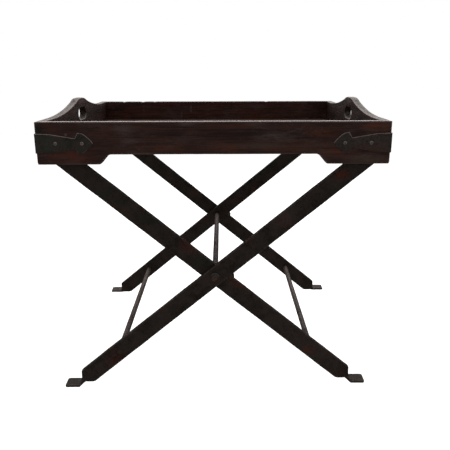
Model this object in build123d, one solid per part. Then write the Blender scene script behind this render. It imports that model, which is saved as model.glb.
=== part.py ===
from build123d import *
from math import atan2, cos, sin, tan
import os

# A butler tray: a wooden tray with handled end boards, carried by a folding iron stand.
# Millimetres, +Z up. The origin lies on the floor under the middle of the tray, and the front faces -Y.

# Tray, overall
tray_length = 660.0
tray_depth = 500.0
rim_height = 571.0

# Boards of the tray
long_board_thickness = 13.0
end_board_thickness = 16.0
wall_height = 62.0
foot_drop = 19.0
foot_length = 118.0
foot_slope_run = 16.0

# Sweep, hump and hand hole of the end boards
handle_setback = 4.5
sweep_reach = 188.0
sweep_rise = 20.1
hump_rise = 26.9
hump_top_length = 16.0
hump_shoulder_run = 32.0
hand_hole_length = 58.0
hand_hole_height = 28.0
hand_hole_drop = 9.5
hand_hole_easing = 1.8
board_top_easing = 1.5

# Floor of the tray
floor_thickness = 9.0
floor_recess = 3.5
groove_depth = 5.0
plank_places = ["front", "middle", "rear"]
plank_gap = 0.3

# Corner straps, measured from the corner along a leaf and from the leaf's middle line
strap_thickness = 1.5
strap_drop = 40.5
strap_root_half = 19.0
strap_shoulder_at = 28.0
strap_shoulder_half = 17.7
strap_neck_at = 73.0
strap_neck_half = 10.0
strap_barb_at = 78.0
strap_barb_half = 20.5
strap_cheek_at = 87.0
strap_cheek_half = 19.0
strap_brow_at = 99.0
strap_brow_half = 10.0
strap_tip_at = 107.0
strap_bend_radius = 1.8

# Nails of the straps
nail_first_at = 37.0
nail_second_at = 86.0
nail_head_radius = 4.0
nail_head_height = 2.4
nail_shank_radius = 1.3
nail_length = 11.0

# Dowels in the corners of the tray
dowel_radius = 3.0
dowel_upper_drop = 14.0
dowel_lower_drop = 68.0
dowel_in_long_board = 8.0
dowel_in_end_board = 25.0

# Bars of the stand
bar_width = 38.0
bar_thickness = 8.0
bar_gap = 0.3
frame_inset = 42.0
pivot_height = 246.0
middle_line_overshoot = 4.5
foot_corner_height = 28.0
foot_corner_radius = 4.0
heel_lift = 1.0
heel_radius = 13.0

# Foot pads, drawn out of the ends of the bars
neck_embed = 7.3
pad_length = 31.0
pad_width = 26.0
pad_thickness = 6.0
pad_outset = 8.0
pad_corner_radius = 4.0
neck_length = 8.0
neck_root_height = 13.0

# Rods of the stand
stretcher_height = 74.7
stretcher_radius = 6.25
stretcher_tenon_radius = 3.6
stretcher_head_radius = 5.6
stretcher_head_height = 1.8
pivot_rod_radius = 6.25
pivot_tenon_radius = 4.0
pivot_head_radius = 6.5
pivot_head_height = 4.0
washer_radius = 9.5
washer_thickness = 1.6

# Stop pegs
peg_radius = 4.0
peg_tail_radius = 2.6
peg_offset = 1.0
peg_clearance = 0.3
peg_tail_head_radius = 4.2
peg_tail_head_height = 1.6
ear_radius = 6.5

# Clearances
running_fit = 0.08
tight_fit = 0.05
side_play = 0.15
seat_clearance = 0.2
head_clearance = 1.0
overrun = 5.0

# Places that follow from the sizes above
lower_edge_height = rim_height - wall_height
foot_bottom_height = lower_edge_height - foot_drop
floor_bottom_height = lower_edge_height + floor_recess
floor_top_height = floor_bottom_height + floor_thickness
strap_height = rim_height - strap_drop
inner_length = tray_length - 2 * end_board_thickness
inner_depth = tray_depth - 2 * long_board_thickness
seat_height = floor_bottom_height - seat_clearance
head_reach = inner_length / 2 - head_clearance
frame_spacing = tray_depth - 2 * frame_inset

# A bar's middle line runs from the pivot to the seat's height, just past the inside of the end boards
leg_angle = atan2(seat_height - pivot_height, inner_length / 2 + middle_line_overshoot)
bar_slope = tan(leg_angle)
bar_half_width_level = bar_width / 2 / sin(leg_angle)

# A foot pad stands out from the end of its bar, which the neck runs back into
foot_end_reach = (pivot_height - foot_corner_height) / bar_slope + bar_half_width_level
pad_tip_reach = foot_end_reach - neck_embed + neck_length + pad_length


def slab_across_y(outline, low, thickness):
    """A plate whose outline lies in the XZ plane, from y = low to low + thickness."""
    face = make_face(outline)
    return extrude(face.moved(Location((0, low, 0))), amount=thickness, dir=(0, 1, 0))


def polygon_xz(points):
    """A closed outline in the XZ plane."""
    return Polyline(*[(x, 0, z) for x, z in points], close=True)


def rod_along_y(radius, low, high, x=0, z=0):
    """A round rod from y = low to y = high."""
    rod = Rot(90, 0, 0) * Cylinder(radius, high - low)
    return Pos(x, (low + high) / 2, z) * rod


def block(low, high):
    """An upright block between two corners."""
    size = [b - a for a, b in zip(low, high)]
    middle = [(a + b) / 2 for a, b in zip(low, high)]
    return Pos(*middle) * Box(*size)


def dome(radius, height):
    """A shallow domed head on the XY plane, rising to +Z."""
    ball = (radius ** 2 + height ** 2) / (2 * height)
    cap = Pos(0, 0, height - ball) * Sphere(ball)
    return cap & block((-ball, -ball, 0), (ball, ball, height))


def dome_front(radius, height, y, x=0, z=0):
    """A domed head that rises towards -Y from the plane at y."""
    return Pos(x, y, z) * Rot(90, 0, 0) * dome(radius, height)


def dome_back(radius, height, y, x=0, z=0):
    """A domed head that rises towards +Y from the plane at y."""
    return Pos(x, y, z) * Rot(-90, 0, 0) * dome(radius, height)


def board_lower_edge(half_length, foot):
    """Points of a board's lower edge, from its positive end to its negative end."""
    slope_top = foot - foot_slope_run
    right = [(half_length, foot_bottom_height), (foot, foot_bottom_height), (slope_top, lower_edge_height)]
    return right + [(-across, height) for across, height in reversed(right)]


def four_corners(front_left):
    """The front left shape and its mirror images in the other three corners."""
    front_right = mirror(front_left, about=Plane.YZ)
    rear_left = mirror(front_left, about=Plane.XZ)
    rear_right = mirror(front_right, about=Plane.XZ)
    return {
        "front_left": front_left,
        "front_right": front_right,
        "rear_left": rear_left,
        "rear_right": rear_right,
    }


def corner_pins(radius):
    """Rods along Y through the butt joints of all four corners, two above one another in each."""
    joint = -inner_depth / 2
    across = -(tray_length - end_board_thickness) / 2
    pins = []
    for drop in (dowel_upper_drop, dowel_lower_drop):
        pin = rod_along_y(
            radius, joint - dowel_in_long_board, joint + dowel_in_end_board, across, rim_height - drop
        )
        pins += list(four_corners(pin).values())
    return pins


def corner_dowels():
    """The hidden dowels of the corners."""
    return Compound(children=[pin.solids()[0] for pin in corner_pins(dowel_radius)])


def nail_holes():
    """Shank holes of every strap nail, a little wider than the shanks."""
    holes = []
    for shape in strap_nail_shanks(nail_shank_radius + tight_fit):
        holes += list(four_corners(shape).values())
    return holes


def front_board():
    """The front board, grooved inside for the floor, with a bracket foot at each end."""
    half = tray_length / 2
    points = [(-half, rim_height), (half, rim_height)] + board_lower_edge(half, half - foot_length)
    board = slab_across_y(polygon_xz(points), -tray_depth / 2, long_board_thickness)
    top_edges = board.edges().filter_by(Axis.X).group_by(Axis.Z)[-1]
    board = fillet(top_edges, board_top_easing)
    groove = block(
        (-inner_length / 2 - groove_depth, -inner_depth / 2 - groove_depth, floor_bottom_height),
        (inner_length / 2 + groove_depth, -inner_depth / 2 + overrun, floor_top_height),
    )
    return board - groove - corner_pins(dowel_radius + tight_fit) - nail_holes()


def end_board_top(half):
    """The top edge: level at both ends, swept up to the shoulders and rounded over the hump."""
    hump = hump_top_length / 2
    top = rim_height + hump_rise
    sweep_top = rim_height + sweep_rise
    edges = [Line((0, handle_setback + hump, top), (0, handle_setback - hump, top))]
    for side in (-1, 1):
        sweep_foot = handle_setback + side * sweep_reach
        shoulder = handle_setback + side * (hump + hump_shoulder_run)
        crown = handle_setback + side * hump
        edges += [
            Line((0, side * half, rim_height), (0, sweep_foot, rim_height)),
            TangentArc((0, sweep_foot, rim_height), (0, shoulder, sweep_top), tangent=(0, -side, 0)),
            TangentArc((0, crown, top), (0, shoulder, sweep_top), tangent=(0, side, 0)),
        ]
    return edges


def left_end_board():
    """The left end board, swept up to a hump over its hand hole and grooved inside for the floor."""
    half = inner_depth / 2
    lower = board_lower_edge(half, tray_depth / 2 - foot_length)
    bottom = Polyline((0, half, rim_height), *[(0, y, z) for y, z in lower], (0, -half, rim_height))
    face = make_face(end_board_top(half) + [bottom])
    outer = -tray_length / 2
    board = extrude(face.moved(Location((outer, 0, 0))), amount=end_board_thickness, dir=(1, 0, 0))
    inner = -inner_length / 2
    hole_height = rim_height - hand_hole_drop
    slot = Plane.YZ * SlotOverall(hand_hole_length, hand_hole_height)
    slot = Pos(outer - overrun, handle_setback, hole_height) * slot
    board -= extrude(slot, amount=end_board_thickness + 2 * overrun, dir=(1, 0, 0))
    hole_edges = board.edges().filter_by_position(
        Axis.Z, hole_height - hand_hole_height / 2, hole_height + hand_hole_height / 2
    )
    hole_edges = hole_edges.filter_by_position(
        Axis.Y, handle_setback - hand_hole_length / 2, handle_setback + hand_hole_length / 2
    )
    board = fillet(hole_edges, hand_hole_easing)
    groove = block(
        (inner - groove_depth, -half, floor_bottom_height), (inner + overrun, half, floor_top_height)
    )
    return board - groove - corner_pins(dowel_radius + tight_fit) - nail_holes()


def floor_planks():
    """The planks of the floor by place, let into the grooves all round."""
    half_length = inner_length / 2 + groove_depth
    covered = inner_depth + 2 * groove_depth
    width = (covered - plank_gap * (len(plank_places) - 1)) / len(plank_places)
    planks = {}
    for index, place in enumerate(plank_places):
        front = -covered / 2 + index * (width + plank_gap)
        low = (-half_length, front, floor_bottom_height)
        high = (half_length, front + width, floor_top_height)
        planks["floor_plank_" + place] = block(low, high)
    return planks


def strap_leaf():
    """The flat face of a leaf: X is the distance from the corner and Y the height over its middle line."""
    upper = [
        Line((-strap_thickness, strap_root_half), (0, strap_root_half)),
        Line((0, strap_root_half), (strap_shoulder_at, strap_shoulder_half)),
        Line((strap_shoulder_at, strap_shoulder_half), (strap_neck_at, strap_neck_half)),
        Line((strap_neck_at, strap_neck_half), (strap_barb_at, strap_barb_half)),
        Line((strap_barb_at, strap_barb_half), (strap_cheek_at, strap_cheek_half)),
        ThreePointArc(
            (strap_cheek_at, strap_cheek_half), (strap_brow_at, strap_brow_half), (strap_tip_at, 0)
        ),
    ]
    root = Line((-strap_thickness, -strap_root_half), (-strap_thickness, strap_root_half))
    lower = [mirror(edge, about=Plane.XZ) for edge in upper]
    return make_face(upper + lower + [root])


def corner_strap():
    """The front left strap: one leaf on the front board and one on the end board, bent in one piece."""
    corner = (-tray_length / 2, -tray_depth / 2, strap_height)
    front_face = Plane(origin=corner, x_dir=(1, 0, 0), z_dir=(0, -1, 0))
    side_face = Plane(origin=corner, x_dir=(0, 1, 0), z_dir=(-1, 0, 0))
    strap = extrude(front_face * strap_leaf(), strap_thickness)
    strap += extrude(side_face * strap_leaf(), strap_thickness)
    outer_edge = strap.edges().filter_by(Axis.Z).sort_by(Axis.X)[0:1]
    strap = fillet(outer_edge, strap_bend_radius)
    for hole in strap_nail_shanks(nail_shank_radius + tight_fit):
        strap -= hole
    return strap


def strap_nail_shanks(radius):
    """Shanks of the four nails of the front left strap, from the strap's outer faces inwards."""
    front = -tray_depth / 2 - strap_thickness
    side = -tray_length / 2 - strap_thickness
    shanks = []
    for place in (nail_first_at, nail_second_at):
        across = -tray_length / 2 + place
        shanks.append(rod_along_y(radius, front, front + nail_length, across, strap_height))
        along_x = Rot(0, 90, 0) * Cylinder(radius, nail_length)
        shanks.append(Pos(side + nail_length / 2, -tray_depth / 2 + place, strap_height) * along_x)
    return shanks


def strap_nails():
    """The four nails of the front left strap, each a shank under a domed head."""
    front = -tray_depth / 2 - strap_thickness
    side = -tray_length / 2 - strap_thickness
    heads = []
    for place in (nail_first_at, nail_second_at):
        across = -tray_length / 2 + place
        heads.append(dome_front(nail_head_radius, nail_head_height, front, across, strap_height))
        head = Rot(0, -90, 0) * dome(nail_head_radius, nail_head_height)
        heads.append(Pos(side, -tray_depth / 2 + place, strap_height) * head)
    shanks = strap_nail_shanks(nail_shank_radius)
    return Compound(children=[(head + shank).solids()[0] for head, shank in zip(heads, shanks)])


def upper_edge_x(height):
    """Where the upper edge of a bar that rises to the right stands at a height."""
    return (height - pivot_height) / bar_slope - bar_half_width_level


def lower_edge_x(height):
    """Where the lower edge of that bar stands at a height."""
    return (height - pivot_height) / bar_slope + bar_half_width_level


def lower_edge_z(x):
    """How high the lower edge of that bar is at x."""
    return pivot_height + (x - bar_half_width_level) * bar_slope


def foot_neck(middle, pad_middle, pad_root_x):
    """The short neck between a bar's end and its foot pad, from narrow and tall to wide and low."""
    root_centre = (pad_root_x + neck_length, middle, heel_lift + neck_root_height / 2)
    pad_centre = (pad_root_x, pad_middle, pad_thickness / 2)
    root = Plane(origin=root_centre, x_dir=(0, 1, 0), z_dir=(-1, 0, 0))
    pad = Plane(origin=pad_centre, x_dir=(0, 1, 0), z_dir=(-1, 0, 0))
    narrow_end = root * Rectangle(bar_thickness, neck_root_height)
    wide_end = pad * Rectangle(pad_width, pad_thickness)
    return loft([narrow_end, wide_end], ruled=True)


def foot_pad(pad_middle, pad_root_x):
    """The flat pad on the floor, rounded at its outer corners."""
    low = (-pad_tip_reach, pad_middle - pad_width / 2, 0)
    high = (pad_root_x, pad_middle + pad_width / 2, pad_thickness)
    pad = block(low, high)
    tip_edges = pad.edges().filter_by(Axis.Z).group_by(Axis.X)[0]
    return fillet(tip_edges, pad_corner_radius)


def stretcher_place():
    """The left stretcher's x and z, on the middle line of the bars that have their feet on the left."""
    return (stretcher_height - pivot_height) / bar_slope, stretcher_height


def left_foot_bar(low, outward):
    """A bar that rises to the right from y = low; outward is -1 at the front and 1 at the rear."""
    foot_end = (upper_edge_x(foot_corner_height), foot_corner_height)
    heel = (lower_edge_x(heel_lift), heel_lift)
    points = [
        (upper_edge_x(seat_height), seat_height),
        (head_reach, seat_height),
        (head_reach, lower_edge_z(head_reach)),
        heel,
        (foot_end[0], heel_lift),
        foot_end,
    ]
    bar = slab_across_y(polygon_xz(points), low, bar_thickness)
    middle = low + bar_thickness / 2
    for (x, z), radius in ((foot_end, foot_corner_radius), (heel, heel_radius)):
        corner = bar.edges().filter_by(Axis.Y).sort_by_distance((x, middle, z))[0]
        bar = fillet(corner, radius)
    pad_middle = middle + outward * pad_outset
    pad_root_x = -pad_tip_reach + pad_length
    bar += foot_neck(middle, pad_middle, pad_root_x)
    bar += foot_pad(pad_middle, pad_root_x)
    high = low + bar_thickness
    bar -= rod_along_y(pivot_tenon_radius + running_fit, low - overrun, high + overrun, 0, pivot_height)
    x, z = stretcher_place()
    bar -= rod_along_y(stretcher_tenon_radius + tight_fit, low - overrun, high + overrun, x, z)
    return bar


def peg_place():
    """The stop peg's x and z, under the left-footed bar and over the right-footed bar."""
    from_left_bar = bar_width / 2 + peg_radius + peg_clearance
    from_right_bar = bar_width / 2 + peg_offset
    x = (from_right_bar + from_left_bar) / (2 * sin(leg_angle))
    z = pivot_height + (from_right_bar - from_left_bar) / (2 * cos(leg_angle))
    return x, z


def right_foot_bar(low, outward):
    """A bar that rises to the left, with an ear for the stop peg on its upper edge."""
    bar = mirror(left_foot_bar(low, outward), about=Plane.YZ)
    x, z = peg_place()
    high = low + bar_thickness
    bar += rod_along_y(ear_radius, low, high, x, z)
    return bar - rod_along_y(peg_tail_radius + tight_fit, low - overrun, high + overrun, x, z)


def stop_peg(low):
    """A peg that stands out in front of the right-footed bar that starts at y = low."""
    x, z = peg_place()
    peg = rod_along_y(peg_radius, low - bar_gap - bar_thickness, low, x, z)
    peg += rod_along_y(peg_tail_radius, low, low + bar_thickness, x, z)
    return peg + dome_back(peg_tail_head_radius, peg_tail_head_height, low + bar_thickness, x, z)


def stretcher(front_low, rear_low, x, z):
    """A rod shouldered between the bars that start at front_low and rear_low, riveted outside them."""
    front_high = front_low + bar_thickness
    rear_high = rear_low + bar_thickness
    rod = rod_along_y(stretcher_radius, front_high, rear_low, x, z)
    rod += rod_along_y(stretcher_tenon_radius, front_low, rear_high, x, z)
    rod += dome_front(stretcher_head_radius, stretcher_head_height, front_low, x, z)
    return rod + dome_back(stretcher_head_radius, stretcher_head_height, rear_high, x, z)


def pivot_stack(left_front, right_front, left_rear, right_rear):
    """Inner faces of the washers and shoulders of the pivot rod, front to rear."""
    return {
        "front_washer": left_front - side_play,
        "front_shoulder": right_front + bar_thickness + side_play,
        "rear_shoulder": left_rear - side_play,
        "rear_washer": right_rear + bar_thickness + side_play,
    }


def pivot_rod(stack):
    """The rod through both crossings, turned down at its ends and riveted over the washers."""
    front_head = stack["front_washer"] - washer_thickness
    rear_head = stack["rear_washer"] + washer_thickness
    rod = rod_along_y(pivot_rod_radius, stack["front_shoulder"], stack["rear_shoulder"], 0, pivot_height)
    rod += rod_along_y(pivot_tenon_radius, front_head, rear_head, 0, pivot_height)
    rod += dome_front(pivot_head_radius, pivot_head_height, front_head, 0, pivot_height)
    return rod + dome_back(pivot_head_radius, pivot_head_height, rear_head, 0, pivot_height)


def pivot_washer(low):
    """A washer under a head of the pivot rod, from y = low."""
    high = low + washer_thickness
    washer = rod_along_y(washer_radius, low, high, 0, pivot_height)
    bore_radius = pivot_tenon_radius + tight_fit
    return washer - rod_along_y(bore_radius, low - overrun, high + overrun, 0, pivot_height)


def tray_pieces():
    """Every piece of the tray by name."""
    pieces = floor_planks()
    pieces["front_board"] = front_board()
    pieces["back_board"] = mirror(pieces["front_board"], about=Plane.XZ)
    pieces["left_end_board"] = left_end_board()
    pieces["right_end_board"] = mirror(pieces["left_end_board"], about=Plane.YZ)
    for name, strap in four_corners(corner_strap()).items():
        pieces["corner_strap_" + name] = strap
    for name, nails in four_corners(strap_nails()).items():
        pieces["strap_nails_" + name] = nails
    pieces["corner_dowels"] = corner_dowels()
    return pieces


def stand_pieces():
    """Every piece of the stand by name."""
    left_front = -frame_spacing / 2 - bar_gap / 2 - bar_thickness
    right_front = -frame_spacing / 2 + bar_gap / 2
    left_rear = frame_spacing / 2 - bar_gap / 2 - bar_thickness
    right_rear = frame_spacing / 2 + bar_gap / 2
    x, z = stretcher_place()
    stack = pivot_stack(left_front, right_front, left_rear, right_rear)
    return {
        "left_foot_front_bar": left_foot_bar(left_front, -1),
        "left_foot_rear_bar": left_foot_bar(left_rear, 1),
        "right_foot_front_bar": right_foot_bar(right_front, -1),
        "right_foot_rear_bar": right_foot_bar(right_rear, 1),
        "left_stretcher": stretcher(left_front, left_rear, x, z),
        "right_stretcher": stretcher(right_front, right_rear, -x, z),
        "pivot_rod": pivot_rod(stack),
        "front_pivot_washer": pivot_washer(stack["front_washer"] - washer_thickness),
        "rear_pivot_washer": pivot_washer(stack["rear_washer"]),
        "front_stop_peg": stop_peg(right_front),
        "rear_stop_peg": stop_peg(right_rear),
    }


os.makedirs("parts", exist_ok=True)
for name, piece in {**tray_pieces(), **stand_pieces()}.items():
    export_step(piece, "parts/" + name + ".step")
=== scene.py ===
"""Dresses a butler tray: a wooden tray with iron corner straps, on a folding stand of iron bars.

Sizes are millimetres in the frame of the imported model, X along the tray, Y from front to back and Z up.
They become metres where a mesh, a light or the camera is made.
"""

import logging
import math
from collections.abc import Callable, Iterator, Sequence
from dataclasses import dataclass, replace
from enum import Enum
from functools import reduce

import bmesh
import bpy
import numpy as np
from mathutils import Matrix, Vector


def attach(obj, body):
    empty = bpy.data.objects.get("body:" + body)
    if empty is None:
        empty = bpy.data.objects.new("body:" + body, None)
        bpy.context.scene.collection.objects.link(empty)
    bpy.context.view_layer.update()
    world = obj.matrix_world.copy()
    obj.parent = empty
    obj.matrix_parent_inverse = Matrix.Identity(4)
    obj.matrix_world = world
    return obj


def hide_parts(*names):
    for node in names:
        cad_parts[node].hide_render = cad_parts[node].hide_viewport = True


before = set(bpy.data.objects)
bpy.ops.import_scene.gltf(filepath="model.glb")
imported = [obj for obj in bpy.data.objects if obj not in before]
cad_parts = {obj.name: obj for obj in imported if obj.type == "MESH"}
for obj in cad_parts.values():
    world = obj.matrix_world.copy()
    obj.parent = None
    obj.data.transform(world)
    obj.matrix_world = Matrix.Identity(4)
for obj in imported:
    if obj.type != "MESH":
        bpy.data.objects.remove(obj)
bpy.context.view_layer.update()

log = logging.getLogger("butler_tray")

Point = tuple[float, float, float]
Flat = tuple[float, float]
Colour = tuple[float, float, float]
Test = Callable[[Vector, Vector], bool]
Socket = bpy.types.NodeSocket
Feeds = dict[str | int, object]

MM = 0.001


class Pick(Enum):
    """What edit mode selects."""

    CORNERS = "VERT"
    EDGES = "EDGE"


class Named(Enum):
    """An option that the names of pieces are made from."""

    @property
    def word(self) -> str:
        """The option's name in small letters."""
        return self.name.lower()


class Side(Named):
    """The end of the tray, or the pair of feet, that a piece belongs to."""

    LEFT = -1
    RIGHT = 1


class Depth(Named):
    """The long side of the tray that a piece is at."""

    FRONT = -1
    REAR = 1


class Grain(Enum):
    """The axis that the wood's grain runs along."""

    ALONG = 0
    ACROSS = 1


class Pattern(Enum):
    """The pattern that makes a skin uneven."""

    SWELLS = "CLOUDS"
    DENTS = "VORONOI"


class Way(Enum):
    """The way that a pattern moves a skin."""

    OUT = "NORMAL"
    X = "X"
    Y = "Y"
    Z = "Z"


@dataclass(frozen=True)
class Unevenness:
    """A pattern pressed into a skin.

    It has swells or dents of a size and a depth. It moves the skin one way, and not at all where it equals
    the level, so a level of 1 keeps the skin inside its old place.
    """

    size: float
    depth: float
    pattern: Pattern = Pattern.SWELLS
    way: Way = Way.OUT
    level: float = 1.0


@dataclass(frozen=True)
class Wear:
    """How the wear of a skin is measured.

    The skin is averaged over some passes, and standing out by full counts as fully worn. Under is the
    share of its wear that skin facing down keeps, which paints shade on lower edges. Top light is added
    on skin facing up as a painted highlight on upper edges and tops, and where it is negative it paints
    shade on skin facing up.
    """

    passes: int
    full: float
    # The last two paint shade on skin facing down and light on skin facing up
    under: float = 1.0
    handled: float = 0.0


def metres(place: Sequence[float]) -> Vector:
    """A place or a step in metres, from millimetres."""
    return Vector(place) * MM


def arc(centre: Flat, radius: float, start: float, end: float, steps: int) -> list[Flat]:
    """Points along an arc.

    Args:
        centre: The arc's centre.
        radius: Its radius.
        start: The angle of its first point, in degrees.
        end: The angle of its last point, in degrees.
        steps: How many straight runs it has.

    Returns:
        The points from first to last.
    """
    angles = [math.radians(start + (end - start) * step / steps) for step in range(steps + 1)]
    return [(centre[0] + radius * math.cos(a), centre[1] + radius * math.sin(a)) for a in angles]


def runs(share: float) -> bool:
    """Whether an edge runs along an axis, from that axis's share of its direction."""
    return abs(share) > 0.9


def crosses(share: float) -> bool:
    """Whether an edge lies square to an axis, from that axis's share of its direction."""
    return abs(share) < 0.1


def meets(place: float, level: float, slack: float = 0.1) -> bool:
    """Whether a place lies at a level, give or take some slack."""
    return abs(place - level) < slack


def corners() -> Iterator[tuple[Depth, Side, str]]:
    """The tray's corners with their names, front to rear and left to right.

    Yields:
        The long side, the end and the corner's name.
    """
    for depth in Depth:
        for side in Side:
            yield depth, side, f"{depth.word}_{side.word}"


def clear_bench() -> None:
    """Leaves edit mode and selects nothing."""
    if bpy.context.mode != "OBJECT":
        bpy.ops.object.mode_set(mode="OBJECT")
    bpy.ops.object.select_all(action="DESELECT")


@dataclass
class Workpiece:
    """One piece on the bench, with the hand tools that shape it."""

    body: bpy.types.Object

    def rename(self, name: str) -> None:
        """Names the object and its mesh."""
        self.body.name = self.body.data.name = name

    def hold(self) -> None:
        """Takes the piece into edit mode with all of it selected."""
        self.put_down()
        bpy.ops.object.mode_set(mode="EDIT")
        bpy.ops.mesh.select_mode(type=Pick.CORNERS.value)
        bpy.ops.mesh.select_all(action="SELECT")

    def put_down(self) -> None:
        """Leaves edit mode, with this piece alone selected."""
        clear_bench()
        self.body.select_set(True)
        bpy.context.view_layer.objects.active = self.body

    def pick(self, kind: Pick, test: Test) -> int:
        """Selects parts of the piece by their place.

        Args:
            kind: Corners or edges.
            test: Takes a corner's place in millimetres and its normal, or an edge's middle and direction.

        Returns:
            How many parts it selected.
        """
        bpy.ops.mesh.select_mode(type=kind.value)
        bpy.ops.mesh.select_all(action="DESELECT")
        shape = bmesh.from_edit_mesh(self.body.data)
        shape.normal_update()
        found = 0
        if kind is Pick.CORNERS:
            parts = [(corner, corner.co, corner.normal) for corner in shape.verts]
        else:
            ends = [(edge, edge.verts[0].co, edge.verts[1].co) for edge in shape.edges]
            parts = [(edge, (a + b) / 2, (b - a).normalized()) for edge, a, b in ends]
        for part, middle, direction in parts:
            if test(middle / MM, direction):
                part.select_set(True)
                found += 1
        shape.select_flush_mode()
        bmesh.update_edit_mesh(self.body.data, loop_triangles=False, destructive=False)
        return found

    def close_line(self) -> None:
        """Joins the two ends of the traced line."""
        shape = bmesh.from_edit_mesh(self.body.data)
        for corner in shape.verts:
            corner.select_set(len(corner.link_edges) == 1)
        shape.select_flush_mode()
        bmesh.update_edit_mesh(self.body.data)
        bpy.ops.mesh.edge_face_add()

    def fill(self) -> None:
        """Closes the traced line and makes it one face."""
        self.close_line()
        bpy.ops.mesh.select_all(action="SELECT")
        bpy.ops.mesh.edge_face_add()

    def draw_out(self, step: Point) -> None:
        """Extrudes what is selected by a step."""
        bpy.ops.mesh.extrude_region_move(TRANSFORM_OT_translate={"value": metres(step)})

    def face_out(self) -> None:
        """Merges doubles and turns every face outwards."""
        bpy.ops.mesh.select_all(action="SELECT")
        bpy.ops.mesh.remove_doubles(threshold=0.002 * MM)
        bpy.ops.mesh.normals_make_consistent(inside=False)

    def ease(self, test: Test, width: float, segments: int = 3) -> None:
        """Rounds the edges that pass a test.

        Args:
            test: Takes an edge's middle and direction.
            width: How far the rounding reaches from the edge.
            segments: How many faces it has.
        """
        if self.pick(Pick.EDGES, test):
            bpy.ops.mesh.bevel(offset=width * MM, offset_type="OFFSET", segments=segments, affect="EDGES")

    def spin_round(self, centre: Point, steps: int) -> None:
        """Spins the traced line once round an axis along Y.

        Args:
            centre: A point on the axis.
            steps: How many faces go round.
        """
        bpy.ops.mesh.select_all(action="SELECT")
        bpy.ops.mesh.spin(steps=steps, angle=math.tau, center=metres(centre), axis=(0, 1, 0))
        self.face_out()

    def work(self, kind: str, **settings: object) -> None:
        """Adds a modifier and applies it.

        Args:
            kind: The modifier's type.
            **settings: Its properties.
        """
        self.put_down()
        tool = self.body.modifiers.new(kind.lower(), kind)
        for key, value in settings.items():
            setattr(tool, key, value)
        bpy.ops.object.modifier_apply(modifier=tool.name)

    def cut_with(self, cutter: "Workpiece") -> None:
        """Cuts another piece's shape out of this one, and uses that piece up.

        Args:
            cutter: The other piece.
        """
        cutter.put_down()
        self.work("BOOLEAN", operation="DIFFERENCE", solver="EXACT", object=cutter.body)
        bpy.data.objects.remove(cutter.body)

    def take_in(self, others: Sequence["Workpiece"]) -> None:
        """Joins other pieces into this one.

        Args:
            others: The other pieces.
        """
        self.put_down()
        for other in others:
            other.body.select_set(True)
        bpy.ops.object.join()

    def even_out(self, grid: float) -> None:
        """Gives the piece an even skin of faces of one size and softens its corners."""
        self.work("REMESH", mode="VOXEL", voxel_size=grid * MM, adaptivity=0.0)
        self.work("SMOOTH", factor=0.5, iterations=1)

    def age(self, patterns: Sequence[Unevenness], wear: Wear) -> None:
        """Presses uneven patterns into the skin and keeps how worn it is, with painted light and shade by
        which way it faces.
        """
        self.roughen(patterns)
        self.mark_wear(wear)

    def roughen(self, patterns: Sequence[Unevenness]) -> None:
        """Presses uneven patterns into the skin, one after the other.

        Args:
            patterns: The patterns, in order.
        """
        for uneven in patterns:
            kind = uneven.pattern.value
            texture = bpy.data.textures.new(f"{self.body.name} {kind.lower()} {uneven.size:g}", kind)
            texture.noise_scale = uneven.size * MM
            settings = {"texture": texture, "texture_coords": "LOCAL", "direction": uneven.way.value}
            self.work("DISPLACE", strength=uneven.depth * MM, mid_level=uneven.level, **settings)

    def push(self, place: Point, step: Point, reach: float) -> None:
        """Pushes the skin round a place, with a soft falloff.

        Args:
            place: The middle of the push.
            step: How far the middle moves.
            reach: How far from the middle the skin moves at all.
        """
        self.hold()
        middle = Vector(place)
        nearest = min((Vector(v.co) / MM - middle).length for v in self.body.data.vertices)
        self.pick(Pick.CORNERS, lambda at, _: (at - middle).length < nearest + 0.01)
        settings = {"use_proportional_edit": True, "proportional_size": reach * MM}
        bpy.ops.transform.translate(value=metres(step), **settings)

    def twin(self, name: str, flip: Point = (1, 1, 1)) -> "Workpiece":
        """A copy with its own mesh, mirrored if asked.

        Args:
            name: The copy's name.
            flip: -1 along each axis that it is mirrored on.

        Returns:
            The copy.
        """
        self.put_down()
        bpy.ops.object.duplicate(linked=False)
        copy = Workpiece(bpy.context.object)
        copy.rename(name)
        copy.body.scale = flip
        bpy.ops.object.transform_apply(location=True, rotation=True, scale=True)
        copy.hold()
        bpy.ops.mesh.normals_make_consistent(inside=False)
        copy.put_down()
        return copy

    def mark_wear(self, wear: Wear) -> None:
        """Keeps on each corner how far it stands out of the skin round it, as the attribute wear, with
        painted light on skin facing up and painted shade on skin facing down.

        Args:
            wear: How the wear is measured.
        """
        mesh = self.body.data
        count = len(mesh.vertices)
        places = np.empty(count * 3)
        normals = np.empty(count * 3)
        edges = np.empty(len(mesh.edges) * 2, dtype=np.int64)
        mesh.vertices.foreach_get("co", places)
        mesh.vertices.foreach_get("normal", normals)
        mesh.edges.foreach_get("vertices", edges)
        places, normals, edges = places.reshape(-1, 3), normals.reshape(-1, 3), edges.reshape(-1, 2)
        degree = np.maximum(np.bincount(edges.ravel(), minlength=count), 1)
        flat = places.copy()
        for _ in range(wear.passes):
            total = np.empty_like(flat)
            for axis in range(3):
                there = np.bincount(edges[:, 0], weights=flat[edges[:, 1], axis], minlength=count)
                back = np.bincount(edges[:, 1], weights=flat[edges[:, 0], axis], minlength=count)
                total[:, axis] = there + back
            flat = total / degree[:, None]
        height = ((places - flat) * normals).sum(axis=1)
        upward = normals[:, 2]
        # Skin facing down keeps only part of its height and skin facing up gains the top term: painted shade
        # below and painted light on top, not wear
        height *= np.clip((1 + wear.under) / 2 + upward * (1 - wear.under) / 2, 0, 1)
        worn = 0.5 + height / (2 * wear.full * MM) + wear.handled * np.clip(upward, 0, 1)
        values = np.clip(worn, 0, 1)
        mesh.attributes.new("wear", "FLOAT", "POINT").data.foreach_set("value", values)

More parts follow.
